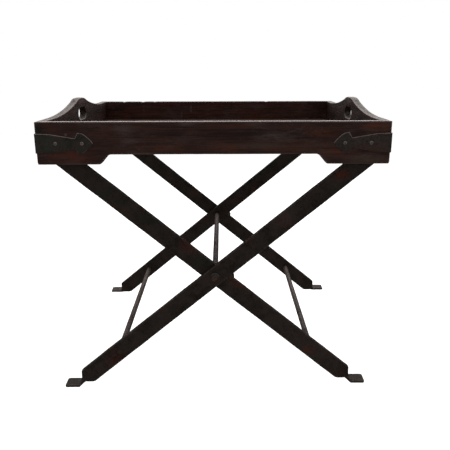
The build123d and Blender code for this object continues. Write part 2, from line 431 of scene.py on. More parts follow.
    def finish(self, body: str, finish: "Finish", nodes: Sequence[str]) -> None:
        """Smooths the shading, dresses the piece and hands it to its CAD body.

        Args:
            body: The body that it rides on.
            finish: What it is dressed in.
            nodes: The CAD nodes that it stands for.
        """
        self.put_down()
        bpy.ops.object.shade_smooth()
        self.body.data.materials.clear()
        self.body.data.materials.append(finish.material())
        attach(self.body, body)
        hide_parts(*nodes)
        self.body.data.calc_loop_triangles()
        log.info("%s: %d triangles on %s", self.body.name, len(self.body.data.loop_triangles), body)


def trace(name: str, points: Sequence[Point]) -> Workpiece:
    """Starts a piece as a line through points in turn.

    Args:
        name: The piece's name.
        points: The points.

    Returns:
        The piece, held with the last point selected.
    """
    clear_bench()
    bpy.ops.mesh.primitive_plane_add(size=MM, location=(0, 0, 0))
    piece = Workpiece(bpy.context.object)
    piece.rename(name)
    piece.hold()
    bpy.ops.mesh.merge(type="CENTER")
    bpy.ops.transform.translate(value=metres(points[0]))
    for before, point in zip(points, points[1:]):
        step = Vector(point) - Vector(before)
        bpy.ops.mesh.extrude_vertices_move(TRANSFORM_OT_translate={"value": metres(step)})
    return piece


def cut_out(name: str, outline: Sequence[Point], step: Point) -> Workpiece:
    """Makes a piece from a flat outline.

    Args:
        name: The piece's name.
        outline: The outline's points in order.
        step: How far, and which way, the outline is drawn out.

    Returns:
        The piece, with its faces turned outwards.
    """
    piece = trace(name, outline)
    piece.fill()
    piece.draw_out(step)
    piece.face_out()
    return piece


def lathe(name: str, at: Flat, line: Sequence[Flat], steps: int, ring: bool = False) -> Workpiece:
    """Turns a round piece about an axis along Y.

    Args:
        name: The piece's name.
        at: The x and z of the axis.
        line: The profile, as radius and y.
        steps: How many faces go round.
        ring: Whether the profile's ends are joined, because the piece has a hole.

    Returns:
        The piece, with its faces turned outwards.
    """
    x, z = at
    piece = trace(name, [(x + radius, y, z) for radius, y in line])
    if ring:
        piece.close_line()
    piece.spin_round((x, 0, z), steps)
    return piece


class Recipe:
    """Lays out the nodes of one material."""

    def __init__(self, name: str) -> None:
        """Starts a material with its shader and the place on the object.

        Args:
            name: The material's name.
        """
        self.result = bpy.data.materials.new(name)
        self.result.use_nodes = True
        self.tree = self.result.node_tree
        self.shader = self.tree.nodes["Principled BSDF"]
        self.place = self.add("ShaderNodeTexCoord").outputs["Object"]

    def add(self, kind: str, feeds: Feeds | None = None, **settings: object) -> bpy.types.Node:
        """Adds a node.

        Args:
            kind: The node's type.
            feeds: What goes into its inputs, a socket or a constant.
            **settings: Its properties.

        Returns:
            The node.
        """
        node = self.tree.nodes.new(kind)
        for key, value in settings.items():
            setattr(node, key, value)
        for key, value in (feeds or {}).items():
            self.feed(node.inputs[key], value)
        return node

    def feed(self, entry: Socket, value: object) -> None:
        """Links a socket into an input, or sets the input's constant.

        Args:
            entry: The input.
            value: The socket or the constant.
        """
        if isinstance(value, Socket):
            self.tree.links.new(value, entry)
        else:
            entry.default_value = value

    def shade(self, feeds: Feeds) -> None:
        """Links sockets into the shader's inputs, or sets their constants."""
        for key, value in feeds.items():
            self.feed(self.shader.inputs[key], value)

    def spread(self, size: Point, turn: Point = (0, 0, 0), shift: Point = (0, 0, 0)) -> Socket:
        """The place measured in pattern sizes.

        Args:
            size: One pattern's size along each axis.
            turn: How the pattern is turned, in degrees.
            shift: How far it is moved, in pattern sizes.

        Returns:
            The coordinates for a pattern of scale 1.
        """
        feeds: Feeds = {"Vector": self.place, "Rotation": [math.radians(a) for a in turn]}
        turned = self.add("ShaderNodeMapping", feeds, vector_type="POINT").outputs["Vector"]
        scale = [1000 / length for length in size]
        sized = self.add("ShaderNodeMapping", {"Vector": turned, "Scale": scale, "Location": shift})
        return sized.outputs["Vector"]

    def cloud(
        self, size: Point, detail: float = 3.0, rough: float = 0.55, warp: float = 0.0, **lie: Point
    ) -> Socket:
        """Noise, about 0.5 on average.

        Args:
            size: One swell's size along each axis.
            detail: How many finer layers it has.
            rough: How strong they are.
            warp: How much it is distorted.
            **lie: How it is turned and shifted.

        Returns:
            The noise.
        """
        at = self.spread(size, **lie)
        feeds = {"Vector": at, "Scale": 1.0, "Detail": detail, "Roughness": rough, "Distortion": warp}
        return self.add("ShaderNodeTexNoise", feeds).outputs["Fac"]

    def cells(self, size: float, shift: Point, feature: str = "F1") -> Socket:
        """How far it is to the middle of the nearest cell."""
        feeds = {"Vector": self.spread((size, size, size), shift=shift), "Scale": 1.0}
        return self.add("ShaderNodeTexVoronoi", feeds, feature=feature).outputs["Distance"]

    def within(self, value: Socket, low: float, high: float, start: float = 0.0, end: float = 1.0) -> Socket:
        """Turns low to high into start to end, and holds it there.

        Args:
            value: What is measured.
            low: The value that gives start.
            high: The value that gives end.
            start: What low gives.
            end: What high gives.

        Returns:
            The new value.
        """
        feeds = {"Value": value, "From Min": low, "From Max": high, "To Min": start, "To Max": end}
        return self.add("ShaderNodeMapRange", feeds, clamp=True).outputs["Result"]

    def sum(self, first: Socket, second: Socket | float) -> Socket:
        """Adds two values."""
        return self.add("ShaderNodeMath", {0: first, 1: second}, operation="ADD").outputs[0]

    def times(self, first: Socket, second: Socket | float) -> Socket:
        """Multiplies two values."""
        return self.add("ShaderNodeMath", {0: first, 1: second}, operation="MULTIPLY").outputs[0]

    def weigh(self, *parts: tuple[Socket, float]) -> Socket:
        """Adds values up, each times its weight."""
        return reduce(self.sum, [self.times(value, weight) for value, weight in parts])

    def most(self, first: Socket, second: Socket) -> Socket:
        """The larger of two values."""
        return self.add("ShaderNodeMath", {0: first, 1: second}, operation="MAXIMUM").outputs[0]

    def over(self, below: Socket | Colour, above: Socket | Colour, share: Socket | float) -> Socket:
        """Lays one colour over another.

        Args:
            below: The colour beneath.
            above: The colour on top.
            share: How much of it covers.

        Returns:
            The mixed colour.
        """
        feeds = {6: solid(below), 7: solid(above), 0: share}
        return self.add("ShaderNodeMix", feeds, data_type="RGBA").outputs[2]

    def ramp(self, value: Socket, stops: Sequence[tuple[float, Colour]]) -> Socket:
        """Turns a value into a colour.

        Args:
            value: What is measured.
            stops: The values and their colours, lowest first.

        Returns:
            The colour.
        """
        node = self.add("ShaderNodeValToRGB", {0: value})
        band = node.color_ramp
        while len(band.elements) < len(stops):
            band.elements.new(0.5)
        for element, (at, _) in zip(band.elements, stops):
            element.position = at
        for element, (_, colour) in zip(band.elements, stops):
            element.color = (*colour, 1.0)
        return node.outputs[0]

    def wear(self) -> Socket:
        """How far the skin stands out here, 0.5 where it is flat, with painted top light and underside shade
        mixed in.
        """
        return self.add("ShaderNodeAttribute", attribute_name="wear").outputs["Fac"]

    def near(self, middle: Point, size: Point) -> Socket:
        """1 at a place and 0 past a distance from it.

        Args:
            middle: The place.
            size: The distance along each axis.

        Returns:
            The value.
        """
        scale = [1000 / length for length in size]
        shift = [-at / length for at, length in zip(middle, size)]
        feeds = {"Vector": self.place, "Scale": scale, "Location": shift}
        away = self.add("ShaderNodeMapping", feeds).outputs["Vector"]
        length = self.add("ShaderNodeVectorMath", {0: away}, operation="LENGTH").outputs["Value"]
        return self.within(length, 1.0, 0.0)

    def patch(self, colour: Socket, marks: Sequence["Mark"], broken: Socket, full: float) -> Socket:
        """Lays patches of other colours over a colour.

        Args:
            colour: The colour beneath.
            marks: The patches.
            broken: What breaks them up.
            full: The share from which a patch covers wholly.

        Returns:
            The colour with its patches.
        """
        for mark in marks:
            share = self.times(self.times(self.near(mark.middle, mark.size), broken), mark.strength)
            colour = self.over(colour, mark.colour, self.within(share, 0.0, full))
        return colour

    def relief(self, height: Socket, depth: float, under: Socket | None = None) -> Socket:
        """Bumps from a height.

        Args:
            height: The height, 0 to 1.
            depth: What 1 stands for.
            under: Larger bumps that these lie on.

        Returns:
            The bumped normal.
        """
        feeds: Feeds = {"Height": height, "Distance": depth * MM, "Strength": 1.0}
        if under is not None:
            feeds["Normal"] = under
        return self.add("ShaderNodeBump", feeds).outputs["Normal"]


def solid(colour: Socket | Colour) -> Socket | tuple[float, ...]:
    """A colour with its fourth channel, or the socket as it is."""
    return colour if isinstance(colour, Socket) else (*colour, 1.0)


@dataclass(frozen=True)
class Mark:
    """A patch of another colour at one place, broken up by the surface."""

    middle: Point
    size: Point
    colour: Colour
    strength: float = 0.6


@dataclass(frozen=True)
class Finish:
    """What every finish has: a name and the record's slot."""

    name: str
    slot: str

    def material(self) -> bpy.types.Material:
        """The finish's material, made when it is first asked for."""
        made = bpy.data.materials.get(self.name)
        return made if made is not None else self.make()

    def make(self) -> bpy.types.Material:
        """Lays out the material."""
        raise NotImplementedError


@dataclass(frozen=True)
class OldWood(Finish):
    """Old stained wood, waxed and used: grain, pores, scratches, scuffs, and worn edges, partly painted
    highlight.
    """

    grain: Grain = Grain.ALONG
    dark: Colour = (0.034, 0.0115, 0.0085)
    warm: Colour = (0.086, 0.030, 0.021)
    pale: Colour = (0.150, 0.062, 0.045)
    red: Colour = (0.160, 0.044, 0.021)
    rubbed: Colour = (0.300, 0.215, 0.185)
    scuffed: Colour = (0.210, 0.150, 0.130)
    pore: Colour = (0.006, 0.004, 0.003)
    grime_and_shade: Colour = (0.008, 0.006, 0.005)
    blush: float = 0.5
    scuffs: float = 0.45
    rubbing_and_light: float = 0.75
    dull: float = 0.40
    shine: float = 0.35
    wax: float = 0.08
    marks: tuple[Mark, ...] = ()

    def along(self, length: float, width: float) -> Point:
        """A pattern's size, long with the grain and narrow across it."""
        return (length, width, width) if self.grain is Grain.ALONG else (width, length, width)

    def make(self) -> bpy.types.Material:
        """Lays out the material.

        Returns:
            The material.
        """
        mix = Recipe(self.name)
        bands = mix.cloud(self.along(420, 16), 3.0, 0.6, 0.35)
        streaks = mix.cloud(self.along(90, 2.6), 4.0, 0.65, shift=(7, 3, 1))
        fibres = mix.cloud(self.along(26, 0.55), 3.0, 0.6, shift=(2, 9, 5))
        patches = mix.cloud((110, 110, 60), 3.0, 0.6, 0.4, shift=(4, 1, 8))
        figure = mix.weigh((bands, 0.5), (streaks, 0.5))
        tone = mix.weigh((figure, 0.78), (fibres, 0.22))
        colour = mix.ramp(tone, ((0.41, self.dark), (0.5, self.warm), (0.59, self.pale)))
        flush = mix.cloud(self.along(120, 30), 4.0, 0.65, 0.5, shift=(6, 2, 9))
        colour = mix.over(colour, self.red, mix.within(flush, 0.5, 0.64, 0.0, self.blush))
        colour = mix.over(colour, self.dark, mix.within(patches, 0.5, 0.68, 0.0, 0.55))
        pores = mix.cloud(self.along(7, 0.42), 1.0, 0.5, shift=(1, 4, 2))
        open_pores = mix.within(pores, 0.36, 0.28)
        colour = mix.over(colour, self.pore, mix.times(open_pores, 0.75))
        scuff = self.scuff_mask(mix)
        colour = mix.over(colour, self.scuffed, mix.times(scuff, self.scuffs))
        broken = mix.within(mix.cloud(self.along(30, 5), 4.0, 0.7), 0.36, 0.56)
        colour = mix.patch(colour, self.marks, broken, 0.6)
        scratch = self.scratch_mask(mix)
        colour = mix.over(colour, self.rubbed, mix.times(scratch, 0.35))
        wear = mix.wear()
        ragged = mix.sum(wear, mix.within(streaks, 0.3, 0.7, -0.12, 0.12))
        # Pale where the skin stands out, as wear; on skin facing up the top term makes it also a painted
        # highlight
        rubbed = mix.within(ragged, 0.66, 0.95)
        colour = mix.over(colour, self.rubbed, mix.times(rubbed, self.rubbing_and_light))
        # Darker where the skin sinks below its surroundings, as grime in dents, and on the back board's top,
        # where the top term is negative, as painted shade
        colour = mix.over(colour, self.grime_and_shade, mix.within(wear, 0.42, 0.2, 0.0, 0.8))
        dull = mix.within(patches, 0.3, 0.7, self.dull - 0.06, self.dull + 0.14)
        dull = mix.sum(dull, mix.weigh((mix.most(open_pores, scuff), 0.2), (rubbed, -0.16)))
        fine = mix.weigh((fibres, 0.4), (open_pores, -0.6), (scratch, -0.5))
        mix.shade({
            "Base Color": colour,
            "Roughness": mix.sum(dull, mix.within(fibres, 0.3, 0.7, -0.05, 0.05)),
            "Specular IOR Level": self.shine,
            "Coat Weight": self.wax,
            "Coat Roughness": 0.28,
            "Normal": mix.relief(fine, 0.16, mix.relief(figure, 0.7)),
        })
        return mix.result

    def scratch_mask(self, mix: Recipe) -> Socket:
        """Fine scratches in three directions, where hands wore the wood.

        Args:
            mix: The recipe that it is laid out in.

        Returns:
            The value, 1 in a scratch.
        """
        found = None
        for turn, seed in (((0, 24, 11), 3), ((0, -38, -7), 8), ((0, 71, 40), 14)):
            line = mix.cloud((60, 1.0, 1.0), 0.0, turn=turn, shift=(seed, seed, seed))
            thin = mix.within(line, 0.735, 0.79)
            found = thin if found is None else mix.most(found, thin)
        area = mix.within(mix.cloud((45, 45, 45), 2.0, shift=(3, 6, 2)), 0.45, 0.6)
        return mix.times(found, area)

    def scuff_mask(self, mix: Recipe) -> Socket:
        """Pale scuffed patches, broken up along the grain.

        Args:
            mix: The recipe that it is laid out in.

        Returns:
            The value, 1 where it is scuffed.
        """
        wide = mix.cloud((70, 70, 35), 3.0, 0.6, shift=(9, 2, 5))
        broken = mix.cloud(self.along(22, 4), 5.0, 0.75, shift=(5, 5, 1))
        return mix.times(mix.within(wide, 0.47, 0.62), mix.within(broken, 0.45, 0.62))


@dataclass(frozen=True)
class OldIron(Finish):
    """Hammered iron with its dark scale, pale where it is worn, with painted highlights on some edges and
    crowns, and rusty in places.
    """

    dark: Colour = (0.033, 0.024, 0.020)
    scale: Colour = (0.088, 0.064, 0.053)
    tint: Colour = (0.060, 0.056, 0.040)
    brown: Colour = (0.105, 0.070, 0.058)
    rubbed_and_highlight: Colour = (0.300, 0.270, 0.245)
    rust: Colour = (0.200, 0.058, 0.024)
    pit: Colour = (0.006, 0.005, 0.005)
    rusting: float = 0.55
    rubbing_and_light: float = 0.5
    metal: float = 0.2
    dull: float = 0.58
    shine: float = 0.28
    dents: float = 11.0
    marks: tuple[Mark, ...] = ()

    def make(self) -> bpy.types.Material:
        """Lays out the material.

        Returns:
            The material.
        """
        mix = Recipe(self.name)
        blotch = mix.cloud((24, 24, 24), 5.0, 0.62, 0.5)
        speckle = mix.cloud((3.2, 3.2, 3.2), 4.0, 0.7, shift=(5, 2, 8))
        green = mix.cloud((46, 46, 46), 3.0, 0.6, 0.6, shift=(1, 7, 3))
        ruddy = mix.cloud((38, 38, 38), 4.0, 0.65, 0.5, shift=(7, 1, 5))
        pits = mix.cells(2.4, (0.4, 0.2, 0.7))
        tone = mix.weigh((blotch, 0.5), (speckle, 0.5))
        colour = mix.ramp(tone, ((0.42, self.dark), (0.58, self.scale)))
        colour = mix.over(colour, self.tint, mix.within(green, 0.48, 0.64, 0.0, 0.7))
        colour = mix.over(colour, self.brown, mix.within(ruddy, 0.48, 0.62, 0.0, 0.7))
        colour = mix.patch(colour, self.marks, mix.within(speckle, 0.36, 0.56), 0.5)
        wear = mix.wear()
        ragged = mix.sum(wear, mix.within(speckle, 0.3, 0.7, -0.16, 0.16))
        # Paler where the skin stands out, as wear; on the straps' upper edges and the nails' crowns this is
        # a painted highlight
        rubbed = mix.times(mix.within(ragged, 0.62, 0.95), self.rubbing_and_light)
        colour = mix.over(colour, self.rubbed_and_highlight, rubbed)
        rust = self.rust_mask(mix, wear, speckle)
        old_rust = tuple(part * 0.35 for part in self.rust)
        deep = mix.over(self.rust, old_rust, mix.within(speckle, 0.62, 0.4))
        colour = mix.over(colour, deep, rust)
        hollow = mix.within(pits, 0.32, 0.12)
        colour = mix.over(colour, self.pit, mix.times(hollow, 0.5))
        dull = mix.within(tone, 0.35, 0.65, self.dull + 0.1, self.dull - 0.08)
        dish = mix.cells(self.dents, (0.3, 0.9, 0.1), "SMOOTH_F1")
        forged = mix.relief(mix.sum(dish, mix.times(blotch, 0.6)), 0.8)
        fine = mix.weigh((speckle, 0.6), (hollow, -0.4))
        mix.shade({
            "Base Color": colour,
            "Metallic": mix.within(rust, 0.0, 0.6, self.metal, 0.0),
            "Roughness": mix.sum(dull, mix.weigh((rust, 0.3), (rubbed, -0.14))),
            "Specular IOR Level": self.shine,
            "Normal": mix.relief(fine, 0.28, forged),
        })
        return mix.result

    def rust_mask(self, mix: Recipe, wear: Socket, speckle: Socket) -> Socket:
        """Rust in blooms and along the edges.

        Args:
            mix: The recipe that it is laid out in.
            wear: How far the skin stands out.
            speckle: The fine noise that breaks it up.

        Returns:
            How rusty it is.
        """
        bloom = mix.cloud((38, 38, 38), 4.0, 0.65, 0.7, shift=(8, 3, 6))
        reach = mix.sum(bloom, mix.within(wear, 0.5, 0.9, 0.0, 0.14))
        return mix.times(mix.within(mix.sum(reach, mix.times(speckle, 0.15)), 0.66, 0.8), self.rusting)


@dataclass(frozen=True)
class Boards:
    """The tray's four boards: two long ones and two ends swept up to a hump with a hand hole."""

    length: float = 660.0
    depth: float = 500.0
    rim: float = 571.0
    lower_edge: float = 509.0
    foot_bottom: float = 490.0
    long_thickness: float = 13.0
    end_thickness: float = 16.0
    long_foot: Flat = (212.0, 196.0)
    end_foot: Flat = (132.0, 116.0)
    hump_top: float = 597.9
    hump_half: float = 8.0
    shoulder: Flat = (40.0, 591.1)
    sweep_reach: float = 188.0
    sweep_steps: int = 12
    bend_steps: int = 6
    setback: float = 4.5
    hand_hole: Flat = (58.0, 28.0)
    hand_hole_height: float = 561.5
    hand_hole_steps: int = 14
    chips: tuple[Point, ...] = (
        (-263.0, 6.5, 2.6),
        (-211.0, 9.0, 1.5),
        (-176.0, 6.0, 1.8),
        (142.0, 8.0, 1.2),
    )
    chip_inset: float = 2.0
    foot_root_ease: float = 4.0
    foot_corner_ease: float = 2.5
    rim_ease: float = 0.9
    edge_ease: float = 0.8
    handle_ease: float = 1.3
    cutter_overhang: float = 5.0
    grid: float = 1.5
    end_grid: float = 1.2
    warp: Flat = (130.0, 0.9)
    dents: tuple[Unevenness, ...] = (Unevenness(24.0, 0.35), Unevenness(7.0, 0.15))
    # The top term paints light on the front and end boards' upper edges and tops and paints shade on the
    # back board's top; skin facing down keeps less wear, as painted shade
    front_wear: Wear = Wear(10, 1.0, 0.4, 0.3)
    back_wear: Wear = Wear(10, 1.0, 0.4, -0.25)
    end_wear: Wear = Wear(10, 1.0, 0.4, 0.36)

    def foot_line(self, half: float, foot: Flat) -> list[Flat]:
        """The lower edge from one end's foot to the other's.

        Args:
            half: Half the board's length.
            foot: Where a foot ends, and where its slope does.

        Returns:
            The points from left to right, as a place and a height.
        """
        inner, rise = foot
        left = [(-half, self.foot_bottom), (-inner, self.foot_bottom), (-rise, self.lower_edge)]
        return left + [(-across, height) for across, height in reversed(left)]

    def long_board(self, finish: Finish) -> None:
        """Makes the front board and the back board.

        Args:
            finish: What they are dressed in.
        """
        half, face = self.length / 2, -self.depth / 2
        line = [(-half, self.rim), *self.foot_line(half, self.long_foot), (half, self.rim)]
        outline = [(x, face, z) for x, z in line]
        board = cut_out("front_board_dressed", outline, (0, self.long_thickness, 0))
        foot_root = self.long_foot[1]
        board.ease(lambda at, way: runs(way.y) and meets(abs(at.x), foot_root, 1), self.foot_root_ease)
        board.ease(lambda at, way: runs(way.y) and meets(at.z, self.foot_bottom), self.foot_corner_ease)
        board.ease(lambda at, way: runs(way.x) and meets(at.z, self.rim), self.rim_ease, 2)
        board.ease(lambda at, way: crosses(way.y) and at.z < self.rim - 3, self.edge_ease, 2)
        back = board.twin("back_board_dressed", (1, -1, 1))
        board.even_out(self.grid)
        self.age(board, Way.Y, self.front_wear)
        board.finish("tray", finish, ["front_board"])
        back.even_out(self.grid)
        self.chip(back)
        self.age(back, Way.Y, self.back_wear)
        back.finish("tray", finish, ["back_board"])

    def chip(self, board: Workpiece) -> None:
        """Knocks chips out of the back board's top edge.

        Args:
            board: The back board.
        """
        outer, inner = self.depth / 2, self.depth / 2 - self.long_thickness
        for across, reach, bite in self.chips:
            for y in (outer - self.chip_inset, inner + self.chip_inset):
                board.push((across, y, self.rim), (0, 0, -bite), reach)

    def age(self, piece: Workpiece, across: Way, wear: Wear) -> None:
        """Warps, dents and wears a board, and paints light and shade on it by which way its skin faces.

        Args:
            piece: The board.
            across: The axis across its faces, which it warps along.
            wear: How worn it is, with its painted top light and underside shade.
        """
        piece.age([Unevenness(*self.warp, way=across, level=0.5), *self.dents], wear)

    def end_line(self) -> list[Flat]:
        """An end board's outline from its front foot round to the hump and down its front sweep.

        Returns:
            The points, as y and z.
        """
        half = self.depth / 2 - self.long_thickness
        out, up = self.shoulder
        run, rise = self.sweep_reach - out, up - self.rim
        bend_run, bend_rise = out - self.hump_half, self.hump_top - up
        sweep_radius = (run**2 + rise**2) / (2 * rise)
        bend_radius = (bend_run**2 + bend_rise**2) / (2 * bend_rise)
        sweep_end = -90 - math.degrees(math.asin(run / sweep_radius))
        bend_start = 90 - math.degrees(math.asin(bend_run / bend_radius))
        low, high = self.rim + sweep_radius, self.hump_top - bend_radius
        sweep = arc((self.sweep_reach, low), sweep_radius, -90, sweep_end, self.sweep_steps)
        bend = arc((self.hump_half, high), bend_radius, bend_start, 90, self.bend_steps)
        climb = sweep + bend[1:]
        rear = [(self.setback + across, height) for across, height in climb]
        front = [(self.setback - across, height) for across, height in reversed(climb)]
        return self.foot_line(half, self.end_foot) + [(half, self.rim)] + rear + front

    def end_boards(self, finish: Finish) -> None:
        """Makes the left end board and the right end board.

        Args:
            finish: What they are dressed in.
        """
        face = -self.length / 2
        half = self.depth / 2 - self.long_thickness
        outline = [(face, y, z) for y, z in [(-half, self.rim), *self.end_line()]]
        board = cut_out("left_end_board_dressed", outline, (self.end_thickness, 0, 0))
        low, foot_root = self.rim - 0.5, self.end_foot[1]
        board.ease(
            lambda at, way: crosses(way.x) and at.z > low and abs(at.y) < half - 2, self.handle_ease, 2
        )
        board.ease(lambda at, way: runs(way.x) and meets(abs(at.y), foot_root, 1), self.foot_root_ease)
        board.cut_with(self.hole_cutter())
        right = board.twin("right_end_board_dressed", (-1, 1, 1))
        for piece, node in ((board, "left_end_board"), (right, "right_end_board")):
            piece.even_out(self.end_grid)
            self.age(piece, Way.X, self.end_wear)
            piece.finish("tray", finish, [node])

    def hole_cutter(self) -> Workpiece:
        """A block with the shape of the hand hole, longer than the board is thick.

        Returns:
            The block.
        """
        long, tall = self.hand_hole
        middle, height = self.setback, self.hand_hole_height
        reach, radius = (long - tall) / 2, tall / 2
        outer = -self.length / 2 - self.cutter_overhang
        rear = arc((middle + reach, height), radius, 90, -90, self.hand_hole_steps)
        front = arc((middle - reach, height), radius, 270, 90, self.hand_hole_steps)
        outline = [(outer, y, z) for y, z in rear + front]
        return cut_out("hand_hole_cutter", outline, (self.end_thickness + 2 * self.cutter_overhang, 0, 0))


@dataclass(frozen=True)
class TrayFloor:
    """The three planks of the tray's floor."""

    reach: float = 319.0
    front: float = -242.0
    bottom: float = 512.5
    thickness: float = 9.0
    plank_width: float = 161.13
    gap: float = 0.3
    places: tuple[str, ...] = ("front", "middle", "rear")
    edge_ease: float = 1.0
    grid: float = 2.6
    dents: tuple[Unevenness, ...] = (Unevenness(90.0, 0.6), Unevenness(15.0, 0.25))
    wear: Wear = Wear(6, 2.2)

    def planks(self, finish: Finish) -> None:
        """Models one plank and copies it along the depth.

        Args:
            finish: What they are dressed in.
        """
        low, high = self.front, self.front + self.plank_width
        line = [(-self.reach, low), (self.reach, low), (self.reach, high), (-self.reach, high)]
        outline = [(x, y, self.bottom) for x, y in line]
        plank = cut_out("floor_plank", outline, (0, 0, self.thickness))
        plank.ease(lambda at, way: runs(way.x) and at.z > self.bottom + 1, self.edge_ease)
        for index, place in enumerate(self.places):
            piece = plank.twin(f"floor_plank_{place}_dressed")
            piece.hold()
            bpy.ops.transform.translate(value=metres((0, index * (self.plank_width + self.gap), 0)))
            piece.even_out(self.grid)
            piece.age(self.dents, self.wear)
            piece.finish("tray", finish, [f"floor_plank_{place}"])
        bpy.data.objects.remove(plank.body)


@dataclass(frozen=True)
class CornerStraps:
    """Four iron straps bent round the corners, spear-shaped at both ends, and their nails."""

    corner: Flat = (330.0, 250.0)
    height: float = 530.5
    thickness: float = 1.5
    outline: tuple[Flat, ...] = (
        (-1.5, 19.0),
        (28.0, 17.7),
        (73.0, 10.0),
        (78.0, 20.5),
        (87.0, 19.0),
        (91.06, 16.51),
        (94.93, 13.65),
        (98.54, 10.46),
        (101.85, 6.96),
        (104.56, 3.58),
        (107.0, 0.0),
    )
    edge_ease: float = 1.3
    grid: float = 0.6
    dents: tuple[Unevenness, ...] = (Unevenness(8.0, 0.22, Pattern.DENTS), Unevenness(3.0, 0.12))
    # Skin facing up gets the full pale colour, as a painted highlight on the straps' upper edges, and skin
    # facing down keeps little, as painted shade
    wear: Wear = Wear(8, 0.42, 0.1, 1.1)
    nail_places: Flat = (37.0, 86.0)
    nail_radius: float = 4.0
    nail_height: float = 2.4
    nail_sink: float = 0.25
    nail_edge: Flat = (0.3, 0.25)
    nail_angles: tuple[float, ...] = (8, 26, 44, 62, 78)
    nail_dents: tuple[Unevenness, ...] = (Unevenness(3.5, 0.5),)
    # Skin facing up is a little paler, as painted light on the nail heads
    nail_wear: Wear = Wear(4, 0.5, 1.0, 0.3)

    def leaf(self, name: str, along_x: bool) -> Workpiece:
        """One leaf of the front left strap, on the long side or on the end.

        Args:
            name: The leaf's name.
            along_x: Whether it lies on the long side.

        Returns:
            The leaf, with its outer edges eased.
        """
        x, y = self.corner
        upper = [(run, self.height + half) for run, half in self.outline]
        lower = [(run, self.height - half) for run, half in reversed(self.outline[:-1])]

        def place(run: float, z: float) -> Point:
            """The outline's point on the leaf's outer face."""
            return (-x + run, -y - self.thickness, z) if along_x else (-x - self.thickness, -y + run, z)

        inward = (0, self.thickness, 0) if along_x else (self.thickness, 0, 0)
        leaf = cut_out(name, [place(run, z) for run, z in upper + lower], inward)
        outer, upright = self.thickness - 0.1, 0.98
        leaf.ease(
            lambda at, way: runs(way.z) and at.x < -x - outer and at.y < -y - outer, self.edge_ease, 4
        )
        leaf.ease(
            lambda at, way: abs(way.z) < upright and min(at.x + x, at.y + y) < -outer, self.edge_ease, 3
        )
        return leaf

    def straps(self, finish: Finish) -> None:
        """Makes the front left strap and mirrors it to the other corners.

        Args:
            finish: What they are dressed in.
        """
        strap = self.leaf("strap", True)
        strap.take_in([self.leaf("strap_end_leaf", False)])
        strap.even_out(self.grid)
        for depth, side, corner in corners():
            piece = strap.twin(f"corner_strap_{corner}_dressed", (-side.value, -depth.value, 1))
            piece.age(self.dents, self.wear)
            piece.finish("tray", finish, [f"corner_strap_{corner}"])
        bpy.data.objects.remove(strap.body)

    def nail_head(self) -> Workpiece:
        """One domed nail head, standing up along -Y at the origin.

        Returns:
            The nail head.
        """
        radius, height = self.nail_radius, self.nail_height
        angles = [math.radians(angle) for angle in self.nail_angles]
        dome = [(radius * math.cos(a), -height * math.sin(a)) for a in angles]
        inset, rise = self.nail_edge
        rim = [(0, 0), (radius - inset, 0), (radius, -rise)]
        return lathe("nail_head", (0, 0), [*rim, *dome, (0, -height)], 28)

    def nails(self, finish: Finish) -> None:
        """Copies the nail head to its places, four to a strap.

        Args:
            finish: What they are dressed in.
        """
        x, y = self.corner
        seat = self.thickness - self.nail_sink
        head = self.nail_head()
        for depth, side, corner in corners():
            heads = []
            for run in self.nail_places:
                on_face = (side.value * (x - run), depth.value * (y + seat), self.height)
                on_end = (side.value * (x + seat), depth.value * (y - run), self.height)
                heads.append(self.set_nail(head, on_face, 0.0 if depth is Depth.FRONT else 180.0))
                heads.append(self.set_nail(head, on_end, 90.0 if side is Side.RIGHT else -90.0))
            group = heads[0]
            group.take_in(heads[1:])
            group.rename(f"strap_nails_{corner}_dressed")
            group.age(self.nail_dents, self.nail_wear)
            group.finish("tray", finish, [f"strap_nails_{corner}"])
        bpy.data.objects.remove(head.body)

    def set_nail(self, head: Workpiece, place: Point, angle: float) -> Workpiece:
        """A copy of the nail head, turned about Z and driven in at its place.

        Args:
            head: The nail head.
            place: Where it is driven in.
            angle: How far it is turned, in degrees.

        Returns:
            The copy.
        """
        nail = head.twin("nail")
        turned = Matrix.Rotation(math.radians(angle), 4, "Z")
        nail.body.matrix_world = Matrix.Translation(metres(place)) @ turned
        nail.put_down()
        bpy.ops.object.transform_apply(location=True, rotation=True, scale=True)
        return nail


